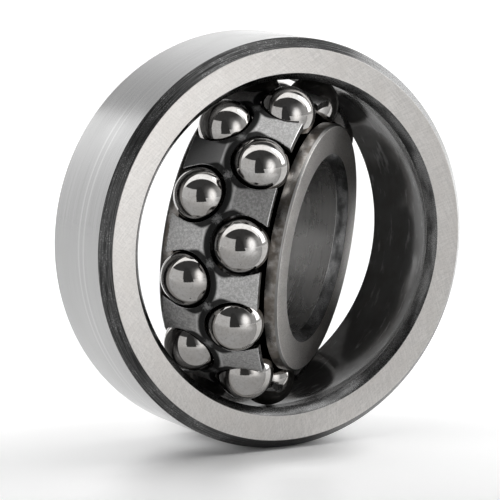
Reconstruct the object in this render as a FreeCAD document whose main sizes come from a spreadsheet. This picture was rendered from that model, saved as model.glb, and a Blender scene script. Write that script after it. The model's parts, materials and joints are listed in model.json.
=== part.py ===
# Self-aligning ball bearing, 20 x 47 x 14 mm, with its inner assembly swivelled out of the outer ring.
# Two staggered rows of balls run in the inner ring's two grooves and in the outer ring's one
# spherical raceway, and a one-piece pressed steel cage with prongs to both sides spaces them.
#
# The origin is the centre of the spherical raceway. The outer ring's axis lies along Y, with its
# front face towards -Y. Every sub-part is drawn about the Y axis, and the inner assembly is then
# turned about the origin.

import FreeCAD
import Part
import math
import os
import Sketcher

# Driving dimensions, in millimetres and degrees: alias, value, meaning. They run from the bore
# outwards, so the raceway and the outside diameter of 47 mm follow from the bore, the balls and
# the two rings' walls.
SIZES = [
    ("bore_diameter", 20.0, "bore of the inner ring"),
    ("inner_wall", 3.27, "from the bore's radius to the sphere about the centre that the balls ride on"),
    ("ball_diameter", 6.35, "ball diameter"),
    ("balls_per_row", 11, "balls in each row"),
    ("row_reach", 0.375, "how far each row's balls reach past the mid plane"),
    ("running_clearance", 0.05, "gap between a ball and each raceway"),
    ("outer_wall", 3.83, "from the spherical raceway's middle to the outside diameter"),
    ("ring_width", 14.0, "width of both rings"),
    ("groove_ease", 0.16, "groove radius less ball radius"),
    ("groove_depth", 1.38, "inner ring's shoulders above the bottom of the grooves"),
    ("ridge_height", 1.12, "ridge between the grooves above their bottom"),
    ("corner_depth", 1.1, "outer corner chamfer across the radius"),
    ("corner_length", 1.4, "outer corner chamfer along the axis"),
    ("mouth_depth", 0.8, "bevel at the raceway's mouth across the radius"),
    ("mouth_length", 1.05, "bevel at the raceway's mouth along the axis"),
    ("shoulder_chamfer", 0.25, "chamfer on the shoulder's outer edge"),
    ("bore_corner_depth", 0.9, "bore chamfer across the radius"),
    ("bore_corner_length", 1.15, "bore chamfer along the axis"),
    ("sheet_thickness", 0.8, "thickness of the cage sheet"),
    ("web_height", 1.55, "cage web's outer face above the ball centres"),
    ("prong_tip_height", 0.7, "prong tip's outer face above the ball centres"),
    ("web_half_width", 1.1, "bend line's distance from the mid plane"),
    ("prong_overhang", 2.75, "prong tips beyond their row's ball centres"),
    ("bend_radius", 1.2, "radius of the bend between web and prongs"),
    ("pocket_clearance", 0.3, "gap between a ball and its cage pocket"),
    ("mouth_curve_radius", 5.7, "radius of the prong flanks beyond the ball centres"),
    ("swivel_yaw", 43.0, "inner assembly turned to the side"),
    ("swivel_drop", 7.4, "inner assembly's front face turned down"),
    ("ball_phase", 26.2, "angle of the first front ball about the bearing's axis"),
]

# Derived sizes, as expressions in the sheet's cells
HALF_WIDTH = "sizes.ring_width / 2"
BALL_RADIUS = "sizes.ball_diameter / 2"
ROW_OFFSET = f"({BALL_RADIUS} - sizes.row_reach)"
CENTRE_RADIUS = f"(sizes.bore_diameter / 2 + sizes.inner_wall + {BALL_RADIUS})"
PITCH_RADIUS = f"sqrt({CENTRE_RADIUS}^2 - {ROW_OFFSET}^2)"
RACEWAY_RADIUS = f"({CENTRE_RADIUS} + {BALL_RADIUS} + sizes.running_clearance)"
OUTER_RADIUS = f"({RACEWAY_RADIUS} + sizes.outer_wall)"
GROOVE_RADIUS = f"({BALL_RADIUS} + sizes.groove_ease)"
GROOVE_CENTRE = f"({CENTRE_RADIUS} + sizes.groove_ease - sizes.running_clearance)"
GROOVE_X = f"({GROOVE_CENTRE} * {PITCH_RADIUS} / {CENTRE_RADIUS})"
GROOVE_Y = f"({GROOVE_CENTRE} * {ROW_OFFSET} / {CENTRE_RADIUS})"
SHOULDER_RADIUS = f"({GROOVE_X} - {GROOVE_RADIUS} + sizes.groove_depth)"
RIDGE_RADIUS = f"({GROOVE_X} - {GROOVE_RADIUS} + sizes.ridge_height)"
WEB_RADIUS = f"({PITCH_RADIUS} + sizes.web_height)"
TIP_RADIUS = f"({PITCH_RADIUS} + sizes.prong_tip_height)"
PRONG_REACH = f"({ROW_OFFSET} + sizes.prong_overhang)"
PRONG_SLOPE = (
    "((sizes.web_height - sizes.prong_tip_height)"
    f" / ({PRONG_REACH} - sizes.web_half_width))"
)
BEND_COSINE = f"(1 / sqrt(1 + {PRONG_SLOPE}^2))"
BEND_SINE = f"({PRONG_SLOPE} / sqrt(1 + {PRONG_SLOPE}^2))"
PLATE_HEIGHT = f"(sizes.web_height - {PRONG_SLOPE} * ({ROW_OFFSET} - sizes.web_half_width))"
POCKET_RADIUS = f"({BALL_RADIUS} + sizes.pocket_clearance)"
MOUTH_HALF = f"sqrt({POCKET_RADIUS}^2 - {PLATE_HEIGHT}^2)"
# The pocket mouths are cut one sheet thickness past the prong tips
MOUTH_OVERHANG = "(sizes.prong_overhang + sizes.sheet_thickness)"
HALF_PITCH = "(180 / sizes.balls_per_row)"

Z_AXIS = FreeCAD.Vector(0, 0, 1)
Y_AXIS = FreeCAD.Vector(0, 1, 0)
X_AXIS = FreeCAD.Vector(1, 0, 0)
FRONT = FreeCAD.Vector(0, -1, 0)
# A sketch's own origin, as a constraint names it
ORIGIN = (-1, 1)


def make_sheet(doc):
    """Write the driving dimensions to a sheet, one alias a row."""
    sheet = doc.addObject("Spreadsheet::Sheet", "sizes")
    for row, (alias, value, meaning) in enumerate(SIZES, start=1):
        sheet.set(f"A{row}", meaning)
        sheet.set(f"B{row}", str(value))
        sheet.setAlias(f"B{row}", alias)
    doc.recompute()
    return sheet


def value_of(holder, expression):
    """The number that an expression in the sheet's cells gives."""
    result = holder.evalExpression(expression)
    return float(getattr(result, "Value", result))


def origin_feature(body, role):
    """The body's own origin plane or axis with the given role."""
    return next(f for f in body.Origin.OriginFeatures if f.Role == role)


def make_body(doc, name):
    body = doc.addObject("PartDesign::Body", name)
    body.Label = name
    return body


def make_sketch(body, name, plane):
    sketch = body.newObject("Sketcher::SketchObject", name)
    sketch.AttachmentSupport = (origin_feature(body, plane), "")
    sketch.MapMode = "FlatFace"
    return sketch


def bind(sketch, constraint, expression):
    """Add a dimension to a sketch and tie it to the sheet."""
    number = sketch.addConstraint(constraint)
    sketch.setExpression(f"Constraints[{number}]", expression)


def draw_outline(sketch, corners, arcs):
    """Draw a closed outline through the corners, each an (x, y, held) of two expressions.

    held names the coordinates that get a dimension; an arc's end leaves one to the arc.
    arcs maps the number of the corner where an arc starts to its centre, radius and turning
    sense. Every other edge is a straight line.
    """
    count = len(corners)
    points = [FreeCAD.Vector(value_of(sketch, x), value_of(sketch, y), 0) for x, y, held in corners]
    for index in range(count):
        start, end = points[index], points[(index + 1) % count]
        if index not in arcs:
            sketch.addGeometry(Part.LineSegment(start, end), False)
            continue
        centre_x, centre_y, radius, counterclockwise = arcs[index]
        centre = FreeCAD.Vector(value_of(sketch, centre_x), value_of(sketch, centre_y), 0)
        circle = Part.Circle(centre, Z_AXIS, value_of(sketch, radius))
        first, last = (start, end) if counterclockwise else (end, start)
        angles = [math.atan2(p.y - centre.y, p.x - centre.x) for p in (first, last)]
        sketch.addGeometry(Part.ArcOfCircle(circle, *angles), False)

    # The end of edge n where the outline arrives, and the end where it leaves
    def leaving(index):
        return 2 if index in arcs and not arcs[index][3] else 1

    def arriving(index):
        return 1 if index in arcs and not arcs[index][3] else 2

    for index, (x, y, held) in enumerate(corners):
        before = (index - 1) % count
        sketch.addConstraint(
            Sketcher.Constraint("Coincident", before, arriving(before), index, leaving(index))
        )
        here = (index, leaving(index))
        if "x" in held:
            bind(sketch, Sketcher.Constraint("DistanceX", *ORIGIN, *here, points[index].x), x)
        if "y" in held:
            bind(sketch, Sketcher.Constraint("DistanceY", *ORIGIN, *here, points[index].y), y)
    for index, (centre_x, centre_y, radius, counterclockwise) in arcs.items():
        centre = (index, 3)
        if (centre_x, centre_y) == ("0", "0"):
            sketch.addConstraint(Sketcher.Constraint("Coincident", *centre, *ORIGIN))
        else:
            x_here = value_of(sketch, centre_x)
            y_here = value_of(sketch, centre_y)
            bind(sketch, Sketcher.Constraint("DistanceX", *ORIGIN, *centre, x_here), centre_x)
            bind(sketch, Sketcher.Constraint("DistanceY", *ORIGIN, *centre, y_here), centre_y)
        bind(sketch, Sketcher.Constraint("Radius", index, value_of(sketch, radius)), radius)


def turn_profile(body, sketch):
    """Turn a half section about the bearing's axis."""
    turned = body.newObject("PartDesign::Revolution", "turned_section")
    turned.Profile = sketch
    turned.ReferenceAxis = (sketch, ["V_Axis"])
    turned.Angle = 360
    sketch.Document.recompute()
    return turned


def make_outer_ring(doc):
    """Outer ring: cylindrical outside, chamfered corners, spherical raceway with bevelled mouths."""
    body = make_body(doc, "outer_ring")
    sketch = make_sketch(body, "outer_ring_section", "XY_Plane")
    outside = OUTER_RADIUS
    corner = f"{outside} - sizes.corner_depth"
    corner_y = f"({HALF_WIDTH} - sizes.corner_length)"
    edge_y = f"({HALF_WIDTH} - sizes.mouth_length)"
    edge = f"sqrt({RACEWAY_RADIUS}^2 - {edge_y}^2)"
    mouth = f"{edge} + sizes.mouth_depth"
    corners = [
        (corner, f"-{HALF_WIDTH}", "xy"),
        (outside, f"-{corner_y}", "xy"),
        (outside, corner_y, "xy"),
        (corner, HALF_WIDTH, "xy"),
        (mouth, HALF_WIDTH, "xy"),
        (edge, edge_y, "y"),
        (edge, f"-{edge_y}", "y"),
        (mouth, f"-{HALF_WIDTH}", "xy"),
    ]
    draw_outline(sketch, corners, {5: ("0", "0", RACEWAY_RADIUS, False)})
    turn_profile(body, sketch)
    return body


def make_inner_ring(doc):
    """Inner ring: chamfered bore, two shoulders, two ball grooves and the ridge between them."""
    body = make_body(doc, "inner_ring")
    sketch = make_sketch(body, "inner_ring_section", "XY_Plane")
    bore = "sizes.bore_diameter / 2"
    bore_face = f"{bore} + sizes.bore_corner_depth"
    bore_y = f"({HALF_WIDTH} - sizes.bore_corner_length)"
    shoulder = SHOULDER_RADIUS
    shoulder_face = f"{SHOULDER_RADIUS} - sizes.shoulder_chamfer"
    shoulder_y = f"({HALF_WIDTH} - sizes.shoulder_chamfer)"
    ridge = RIDGE_RADIUS
    outer_reach = f"sqrt({GROOVE_RADIUS}^2 - ({GROOVE_X} - {shoulder})^2)"
    inner_reach = f"sqrt({GROOVE_RADIUS}^2 - ({GROOVE_X} - {ridge})^2)"
    groove_end = f"({GROOVE_Y} + {outer_reach})"
    ridge_end = f"({GROOVE_Y} - {inner_reach})"
    corners = [
        (bore_face, f"-{HALF_WIDTH}", "xy"),
        (shoulder_face, f"-{HALF_WIDTH}", "xy"),
        (shoulder, f"-{shoulder_y}", "xy"),
        (shoulder, f"-{groove_end}", "x"),
        (ridge, f"-{ridge_end}", "x"),
        (ridge, ridge_end, "x"),
        (shoulder, groove_end, "x"),
        (shoulder, shoulder_y, "xy"),
        (shoulder_face, HALF_WIDTH, "xy"),
        (bore_face, HALF_WIDTH, "xy"),
        (bore, bore_y, "xy"),
        (bore, f"-{bore_y}", "xy"),
    ]
    arcs = {
        3: (GROOVE_X, f"-{GROOVE_Y}", GROOVE_RADIUS, False),
        5: (GROOVE_X, GROOVE_Y, GROOVE_RADIUS, False),
    }
    draw_outline(sketch, corners, arcs)
    turn_profile(body, sketch)
    return body


def bend_corners(web, radius):
    """Where a bend of the given outside radius meets the flank and the web, and its centre."""
    tangent = f"({radius} * (1 - {BEND_COSINE}) / {BEND_SINE})"
    start_y = f"(sizes.web_half_width - {tangent})"
    flank_x = f"({web} - {radius} + {radius} * {BEND_COSINE})"
    flank_y = f"({start_y} + {radius} * {BEND_SINE})"
    centre_x = f"({web} - {radius})"
    return start_y, flank_x, flank_y, centre_x


def make_cage_band(body):
    """The cage's sheet before punching: a band whose two flanks slope down from the web."""
    sketch = make_sketch(body, "band_section", "XY_Plane")
    inside_bend = "sizes.bend_radius"
    outside_bend = "(sizes.bend_radius + sizes.sheet_thickness)"
    web_inside = f"({WEB_RADIUS} - sizes.sheet_thickness)"
    tip_inside = f"({TIP_RADIUS} - sizes.sheet_thickness)"
    out_y, out_flank_x, out_flank_y, out_centre = bend_corners(WEB_RADIUS, outside_bend)
    in_y, in_flank_x, in_flank_y, in_centre = bend_corners(web_inside, inside_bend)
    corners = [
        (TIP_RADIUS, f"-{PRONG_REACH}", "xy"),
        (out_flank_x, f"-{out_flank_y}", "y"),
        (WEB_RADIUS, f"-{out_y}", "y"),
        (WEB_RADIUS, out_y, "y"),
        (out_flank_x, out_flank_y, "y"),
        (TIP_RADIUS, PRONG_REACH, "xy"),
        (tip_inside, PRONG_REACH, "xy"),
        (in_flank_x, in_flank_y, "y"),
        (web_inside, in_y, "y"),
        (web_inside, f"-{in_y}", "y"),
        (in_flank_x, f"-{in_flank_y}", "y"),
        (tip_inside, f"-{PRONG_REACH}", "xy"),
    ]
    arcs = {
        1: (out_centre, f"-{out_y}", outside_bend, True),
        3: (out_centre, out_y, outside_bend, True),
        7: (in_centre, in_y, inside_bend, False),
        9: (in_centre, f"-{in_y}", inside_bend, False),
    }
    draw_outline(sketch, corners, arcs)
    turn_profile(body, sketch)


def make_pocket(body, side, name, turn):
    """One row's first ball pocket: a spherical seat and a mouth that opens past the prong tips.

    side is -1 for the front row and 1 for the back row, which is turned by half a pitch.
    """
    centre = f"{side} * {ROW_OFFSET}"
    outward = side > 0
    seat_sketch = make_sketch(body, f"{name}_seat_outline", "XY_Plane")
    seat_sketch.AttachmentOffset = FreeCAD.Placement(FreeCAD.Vector(), FreeCAD.Rotation(Y_AXIS, 1))
    seat_sketch.setExpression("AttachmentOffset.Rotation.Angle", turn)
    seat_corners = [
        (f"{PITCH_RADIUS} - {POCKET_RADIUS}", centre, "y"),
        (f"{PITCH_RADIUS} + {POCKET_RADIUS}", centre, "y"),
    ]
    draw_outline(seat_sketch, seat_corners, {1: (PITCH_RADIUS, centre, POCKET_RADIUS, outward)})
    seat = body.newObject("PartDesign::Groove", f"{name}_seat")
    seat.Profile = seat_sketch
    seat.ReferenceAxis = (seat_sketch, ["Edge1"])
    seat.Angle = 360

    sketch = make_sketch(body, f"{name}_mouth_outline", "YZ_Plane")
    sketch.AttachmentOffset = FreeCAD.Placement(FreeCAD.Vector(), FreeCAD.Rotation(X_AXIS, 1))
    sketch.setExpression("AttachmentOffset.Rotation.Angle", turn)
    tip = f"{side} * ({ROW_OFFSET} + {MOUTH_OVERHANG})"
    curve = "sizes.mouth_curve_radius"
    curve_z = f"({MOUTH_HALF} - {curve})"
    tip_half = f"({curve_z} + sqrt({curve}^2 - {MOUTH_OVERHANG}^2))"
    corners = [
        (centre, f"-{MOUTH_HALF}", "x"),
        (tip, f"-{tip_half}", "x"),
        (tip, tip_half, "x"),
        (centre, MOUTH_HALF, "x"),
    ]
    arcs = {
        0: (centre, f"-{curve_z}", curve, outward),
        2: (centre, curve_z, curve, outward),
    }
    draw_outline(sketch, corners, arcs)
    mouth = body.newObject("PartDesign::Pocket", f"{name}_mouth")
    mouth.Profile = sketch
    mouth.Type = "Length"
    mouth.Reversed = True
    mouth.setExpression("Length", OUTER_RADIUS)
    body.Document.recompute()
    return [seat, mouth]


def make_cage(doc):
    """Cage: one pressed sheet, open pockets alternately to the front and to the back."""
    body = make_body(doc, "cage")
    make_cage_band(body)
    whole = body.Shape.Volume
    cuts = make_pocket(body, -1, "front", "0")
    cuts += make_pocket(body, 1, "back", HALF_PITCH)
    one_pair = whole - body.Shape.Volume
    if one_pair <= 0:
        raise RuntimeError("the first pockets cut nothing")
    pattern = body.newObject("PartDesign::PolarPattern", "pockets")
    pattern.Originals = cuts
    pattern.Axis = (origin_feature(body, "Y_Axis"), [""])
    pattern.Angle = 360
    pattern.setExpression("Occurrences", "sizes.balls_per_row")
    body.Tip = pattern
    doc.recompute()
    return body


def make_balls(doc, sheet, swivel):
    """Both rows of balls, the back row turned by half a pitch."""
    pitch_radius = value_of(sheet, PITCH_RADIUS)
    half_pitch = value_of(sheet, HALF_PITCH)
    offset = value_of(sheet, ROW_OFFSET)
    phase = value_of(sheet, "sizes.ball_phase")
    balls = []
    for name, side, turn in (("front", -1, 0.0), ("back", 1, half_pitch)):
        for index in range(round(value_of(sheet, "sizes.balls_per_row"))):
            label = f"ball_{name}_{index + 1:02d}"
            ball = doc.addObject("Part::Sphere", label)
            ball.Label = label
            ball.setExpression("Radius", BALL_RADIUS)
            about_axis = FreeCAD.Rotation(Y_AXIS, phase + turn + 2 * half_pitch * index)
            turned = swivel * about_axis
            centre = turned.multVec(FreeCAD.Vector(pitch_radius, side * offset, 0))
            ball.Placement = FreeCAD.Placement(centre, turned)
            balls.append(ball)
    return balls


def swivel_rotation(sheet):
    """The turn that takes the inner assembly's front axis from -Y to its swivelled direction."""
    yaw = math.radians(value_of(sheet, "sizes.swivel_yaw"))
    drop = math.radians(value_of(sheet, "sizes.swivel_drop"))
    level = math.cos(drop)
    swivelled = FreeCAD.Vector(math.sin(yaw) * level, -math.cos(yaw) * level, -math.sin(drop))
    return FreeCAD.Rotation(FRONT, swivelled)


def check(doc, parts):
    """Stop if an object failed or a sub-part has no sound solid."""
    for item in doc.Objects:
        if "Invalid" in item.State or "Error" in item.State:
            raise RuntimeError(f"{item.Name} failed: {item.State}")
    for part in parts:
        shape = part.Shape
        if shape.isNull() or not shape.isValid() or len(shape.Solids) != 1:
            raise RuntimeError(f"{part.Label} has no single sound solid")


def main():
    doc = FreeCAD.newDocument("self_aligning_ball_bearing")
    sheet = make_sheet(doc)
    swivel = swivel_rotation(sheet)

    outer_ring = make_outer_ring(doc)
    inner_ring = make_inner_ring(doc)
    inner_ring.Placement = FreeCAD.Placement(FreeCAD.Vector(), swivel)
    cage = make_cage(doc)
    phase = FreeCAD.Rotation(Y_AXIS, value_of(sheet, "sizes.ball_phase"))
    cage.Placement = FreeCAD.Placement(FreeCAD.Vector(), swivel * phase)
    balls = make_balls(doc, sheet, swivel)

    doc.recompute()
    parts = [outer_ring, inner_ring, cage] + balls
    check(doc, parts)
    os.makedirs("parts", exist_ok=True)
    for part in parts:
        part.Shape.exportStep(os.path.join("parts", f"{part.Label}.step"))
        print(f"{part.Label}: {part.Shape.Volume:.2f} mm3, faces {len(part.Shape.Faces)}")


main()
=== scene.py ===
# Looks of the self-aligning ball bearing: finely drawn rings, cage and balls that stand for the
# packed ones, their steels, a pale studio and the camera. Lengths are in millimetres until a mesh
# is made, where MM turns them into metres.
import json
import math

import bmesh
import bpy
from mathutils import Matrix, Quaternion, Vector


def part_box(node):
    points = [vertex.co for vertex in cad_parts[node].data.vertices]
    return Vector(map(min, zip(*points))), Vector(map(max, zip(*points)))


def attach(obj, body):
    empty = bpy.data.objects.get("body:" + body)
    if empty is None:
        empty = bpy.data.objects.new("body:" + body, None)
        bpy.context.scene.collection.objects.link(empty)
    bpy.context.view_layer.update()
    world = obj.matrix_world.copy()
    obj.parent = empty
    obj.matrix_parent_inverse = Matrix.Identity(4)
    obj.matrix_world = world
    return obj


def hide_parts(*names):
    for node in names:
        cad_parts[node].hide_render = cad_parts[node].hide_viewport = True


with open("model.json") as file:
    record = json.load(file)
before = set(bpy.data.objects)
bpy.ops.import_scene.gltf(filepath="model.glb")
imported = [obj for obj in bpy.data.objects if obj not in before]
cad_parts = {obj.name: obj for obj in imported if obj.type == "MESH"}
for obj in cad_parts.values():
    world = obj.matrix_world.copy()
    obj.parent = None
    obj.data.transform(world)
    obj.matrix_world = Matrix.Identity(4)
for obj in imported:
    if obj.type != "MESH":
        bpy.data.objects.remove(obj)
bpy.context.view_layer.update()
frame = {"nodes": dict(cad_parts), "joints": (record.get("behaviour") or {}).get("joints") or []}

MM = 0.001

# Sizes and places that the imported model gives
JOINTS = {joint["name"]: joint for joint in frame["joints"]}
FRONT = Vector((0, -1, 0))
INNER_FRONT = Vector(JOINTS["inner_ring_spin"]["axis"])
SWIVEL_AXIS = Vector(JOINTS["swivel"]["axis"])
SWIVEL_ANGLE = INNER_FRONT.angle(FRONT)
SWIVEL = Quaternion(SWIVEL_AXIS, SWIVEL_ANGLE)
UPRIGHT = Quaternion()
OUTER_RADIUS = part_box("outer_ring")[1].z / MM
HALF_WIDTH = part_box("outer_ring")[1].y / MM
BALL_NAMES = sorted(name for name in frame["nodes"] if name.startswith("ball_"))
BALL_CENTRES = {name: Vector(JOINTS[name + "_roll"]["pos_m"]) / MM for name in BALL_NAMES}
BALLS_PER_ROW = sum(name.startswith("ball_front_") for name in BALL_NAMES)
BALL_RADIUS = (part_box("ball_front_01")[1].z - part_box("ball_front_01")[0].z) / 2 / MM
FIRST_BALL = SWIVEL.inverted() @ BALL_CENTRES["ball_front_01"]
ROW_OFFSET = -FIRST_BALL.y
PITCH_RADIUS = math.hypot(FIRST_BALL.x, FIRST_BALL.z)
CENTRE_RADIUS = FIRST_BALL.length
BALL_PHASE = math.atan2(-FIRST_BALL.z, FIRST_BALL.x)
HALF_PITCH = math.pi / BALLS_PER_ROW

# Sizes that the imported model's solids have too
RUNNING_CLEARANCE = 0.05
RACEWAY_RADIUS = CENTRE_RADIUS + BALL_RADIUS + RUNNING_CLEARANCE
CORNER_DEPTH, CORNER_LENGTH = 1.1, 1.4
MOUTH_DEPTH, MOUTH_LENGTH = 0.8, 1.05
BORE_RADIUS = 10.0
BORE_CORNER_DEPTH, BORE_CORNER_LENGTH = 0.9, 1.15
SHOULDER_CHAMFER = 0.25
GROOVE_EASE = 0.16
GROOVE_DEPTH, RIDGE_HEIGHT = 1.38, 1.12
SHEET_THICKNESS = 0.8
WEB_HEIGHT, PRONG_TIP_HEIGHT = 1.55, 0.7
WEB_HALF_WIDTH, PRONG_OVERHANG = 1.1, 2.75
BEND_RADIUS = 1.2
POCKET_CLEARANCE = 0.3
MOUTH_CURVE_RADIUS = 5.7

# How finely the pieces are drawn, and how far their edges are broken
RING_STEPS = 360
ARC_STEP = 0.3
EDGE_STEPS = 3
RING_EDGE_RADIUS = 0.07
CAGE_EDGE_RADIUS = 0.07
SHARP_ANGLE = math.radians(44)
BALL_SUBDIVISIONS = 5
CAGE_FLANK_ROWS, CAGE_WEB_ROWS = 28, 16
# How closely the flank's rows crowd towards the web: 1 spaces them evenly
CAGE_ROW_CROWDING = 1.35
CAGE_COLUMNS = 8
CAGE_WALL_STEPS = 3
# Points closer than this are one point
WELD_DISTANCE = 0.0005
# How strongly a large face sways the shading of its corners; 100 is the most
FLAT_FACE_WEIGHT = 100


# Meshes

def add_object(name, data):
    """A new object in the scene that shows a mesh or a camera."""
    added = bpy.data.objects.new(name, data)
    bpy.context.scene.collection.objects.link(added)
    return added


def make_piece(name, points, faces, slots, materials, body, node):
    """A smooth-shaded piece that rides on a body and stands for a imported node."""
    mesh = bpy.data.meshes.new(name)
    mesh.from_pydata([point * MM for point in points], [], faces)
    for material in materials:
        mesh.materials.append(material)
    mesh.polygons.foreach_set("material_index", slots)
    work = bmesh.new()
    work.from_mesh(mesh)
    bmesh.ops.remove_doubles(work, verts=work.verts, dist=WELD_DISTANCE * MM)
    bmesh.ops.recalc_face_normals(work, faces=work.faces)
    work.to_mesh(mesh)
    work.free()
    mesh.shade_smooth()
    mesh.set_sharp_from_angle(angle=SHARP_ANGLE)
    piece = add_object(name, mesh)
    weighted = piece.modifiers.new("flat faces stay flat", "WEIGHTED_NORMAL")
    weighted.weight = FLAT_FACE_WEIGHT
    weighted.keep_sharp = True
    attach(piece, body)
    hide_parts(node)


def arc_points(centre, radius, start, end, slot):
    """Section points along an arc from the angle start to the angle end.

    The first one is marked as a corner, and the last one is left out.
    """
    steps = max(2, round(abs(end - start) * radius / ARC_STEP))
    points = []
    for step in range(steps):
        angle = start + (end - start) * step / steps
        r = centre[0] + radius * math.cos(angle)
        y = centre[1] + radius * math.sin(angle)
        points.append((r, y, slot, step == 0))
    return points


def round_edges(section, radius):
    """The closed section with every corner that is marked turned into a small arc."""
    rounded = []
    for index, (r, y, slot, corner) in enumerate(section):
        if not corner:
            rounded.append((r, y, slot))
            continue
        here = Vector((r, y))
        before = (Vector(section[index - 1][:2]) - here).normalized()
        after = (Vector(section[(index + 1) % len(section)][:2]) - here).normalized()
        half = before.angle(after) / 2
        inset = radius / math.tan(half)
        centre = here + (before + after).normalized() * radius / math.sin(half)
        first = (here + before * inset - centre).normalized()
        last = (here + after * inset - centre).normalized()
        for step in range(EDGE_STEPS + 1):
            point = centre + radius * first.slerp(last, step / EDGE_STEPS)
            point_slot = slot if step == EDGE_STEPS else section[index - 1][2]
            rounded.append((point.x, point.y, point_slot))
    return rounded


def lathe(name, section, turn, materials, body, node):
    """Turn a closed section of (radius, along the axis, material) about Y, then swivel it."""
    points, faces, slots = [], [], []
    count = len(section)
    for step in range(RING_STEPS):
        angle = 2 * math.pi * step / RING_STEPS
        for r, y, _ in section:
            points.append(turn @ Vector((r * math.cos(angle), y, r * math.sin(angle))))
    for step in range(RING_STEPS):
        near, far = step * count, (step + 1) % RING_STEPS * count
        for index, (_, _, material) in enumerate(section):
            following = (index + 1) % count
            faces.append((near + index, near + following, far + following, far + index))
            slots.append(material)
    make_piece(name, points, faces, slots, materials, body, node)


# Materials

def grey(level, warmth=0.0):
    """A linear grey, warmer with a positive warmth."""
    return (level * (1 + warmth), level, level * (1 - warmth), 1.0)


class Nodes:
    """Short ways to add shader nodes to one node tree."""

    def __init__(self, tree):
        self.tree = tree
        tree.nodes.clear()

    def add(self, kind, **settings):
        node = self.tree.nodes.new(kind)
        for name, value in settings.items():
            setattr(node, name, value)
        return node

    def link(self, source, target):
        """Feed a socket from another one, or give it a plain value."""
        if isinstance(source, bpy.types.NodeSocket):
            self.tree.links.new(source, target)
        elif source is not None:
            target.default_value = source

    def math(self, operation, first, second=None, third=None, clamp=False):
        node = self.add("ShaderNodeMath", operation=operation, use_clamp=clamp)
        for socket, value in zip(node.inputs, (first, second, third)):
            self.link(value, socket)
        return node.outputs[0]

    def hypotenuse(self, first, second):
        squares = self.math("ADD", self.math("MULTIPLY", first, first),
                            self.math("MULTIPLY", second, second))
        return self.math("SQRT", squares)

    def vector_math(self, operation, first, second=None):
        node = self.add("ShaderNodeVectorMath", operation=operation)
        self.link(first, node.inputs[0])
        if operation == "SCALE":
            self.link(second, node.inputs["Scale"])
        elif second is not None:
            self.link(second, node.inputs[1])
        return node.outputs["Value" if operation in ("DOT_PRODUCT", "LENGTH", "DISTANCE") else 0]

    def combine(self, x, y, z):
        node = self.add("ShaderNodeCombineXYZ")
        for socket, value in zip(node.inputs, (x, y, z)):
            self.link(value, socket)
        return node.outputs[0]

    def separate(self, vector):
        node = self.add("ShaderNodeSeparateXYZ")
        self.link(vector, node.inputs[0])
        return node.outputs[0], node.outputs[1], node.outputs[2]

    def place(self):
        """Place in millimetres."""
        place = self.add("ShaderNodeTexCoord").outputs["Object"]
        return self.vector_math("SCALE", place, 1 / MM)

    def noise(self, vector, scale=1.0, detail=2.0, roughness=0.5):
        node = self.add("ShaderNodeTexNoise")
        self.link(vector, node.inputs["Vector"])
        node.inputs["Scale"].default_value = scale
        node.inputs["Detail"].default_value = detail
        node.inputs["Roughness"].default_value = roughness
        return node.outputs["Fac"]

    def ramp(self, value, low, high, to_low=0.0, to_high=1.0, smooth=True):
        """Map a value from low..high to to_low..to_high, held at both ends."""
        node = self.add("ShaderNodeMapRange", clamp=True)
        node.interpolation_type = "SMOOTHSTEP" if smooth else "LINEAR"
        for socket, number in zip(node.inputs, (value, low, high, to_low, to_high)):
            self.link(number, socket)
        return node.outputs[0]

    def mix(self, factor, first, second):
        node = self.add("ShaderNodeMix", data_type="RGBA")
        self.link(factor, node.inputs["Factor"])
        self.link(first, node.inputs[6])
        self.link(second, node.inputs[7])
        return node.outputs[2]

    def close(self, shader, kind="ShaderNodeOutputMaterial"):
        """Make a shader the tree's surface."""
        self.link(shader.outputs[0], self.add(kind).inputs["Surface"])


def new_material(name):
    """A new material with an empty node tree, and that tree's nodes."""
    material = bpy.data.materials.new(name)
    material.use_nodes = True
    return material, Nodes(material.node_tree)


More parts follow.
